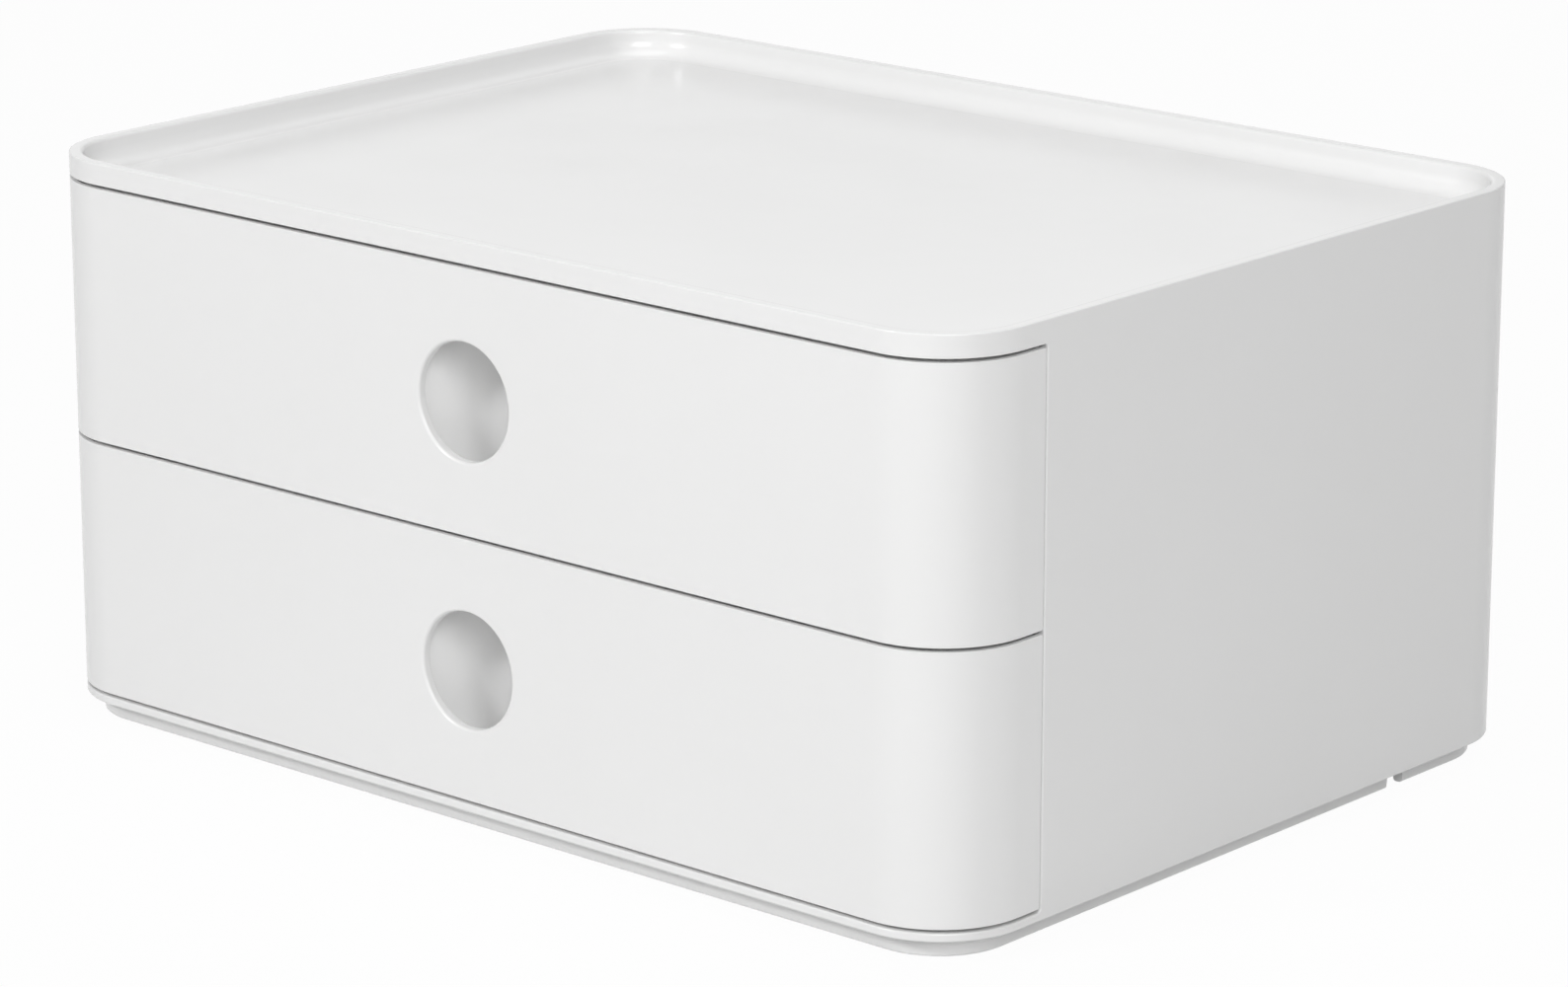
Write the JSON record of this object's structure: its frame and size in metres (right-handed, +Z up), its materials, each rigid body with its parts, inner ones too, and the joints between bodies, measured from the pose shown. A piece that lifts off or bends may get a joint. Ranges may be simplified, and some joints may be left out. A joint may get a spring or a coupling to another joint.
{
  "type": "desktop drawer box",
  "caption": "Low desktop drawer box in gloss plastic: raised-rim tray on top, full-width drawers whose fronts wrap round the corners, round finger pulls, stacking rail below.",
  "frame": {"origin": "middle of the footprint, at the level of the feet", "axes": "+X to the right of someone facing the drawers, -Y the way the drawers open, +Z up"},
  "size_m": [0.26, 0.194, 0.1266],
  "materials": {
    "shell_white": "smooth gloss white moulding",
    "inner_white": "smooth white moulding, a little less glossy",
    "foot_rubber": "soft matt grey rubber"
  },
  "bodies": {
    "cabinet": {"housing": "shell_white", "divider_shelf": "inner_white", "base": "shell_white", "foot_front_left": "foot_rubber", "foot_front_right": "foot_rubber", "foot_rear_left": "foot_rubber", "foot_rear_right": "foot_rubber"},
    "lower_drawer": {"lower_drawer_tub": "inner_white", "lower_drawer_front": "shell_white"},
    "upper_drawer": {"upper_drawer_tub": "inner_white", "upper_drawer_front": "shell_white"}
  },
  "joints": [
    {"name": "lower_drawer_slide", "type": "slide", "parent": "cabinet", "child": "lower_drawer", "axis": [0, -1, 0], "range_m": [0, 0.127]},
    {"name": "upper_drawer_slide", "type": "slide", "parent": "cabinet", "child": "upper_drawer", "axis": [0, -1, 0], "range_m": [0, 0.127]}
  ]
}
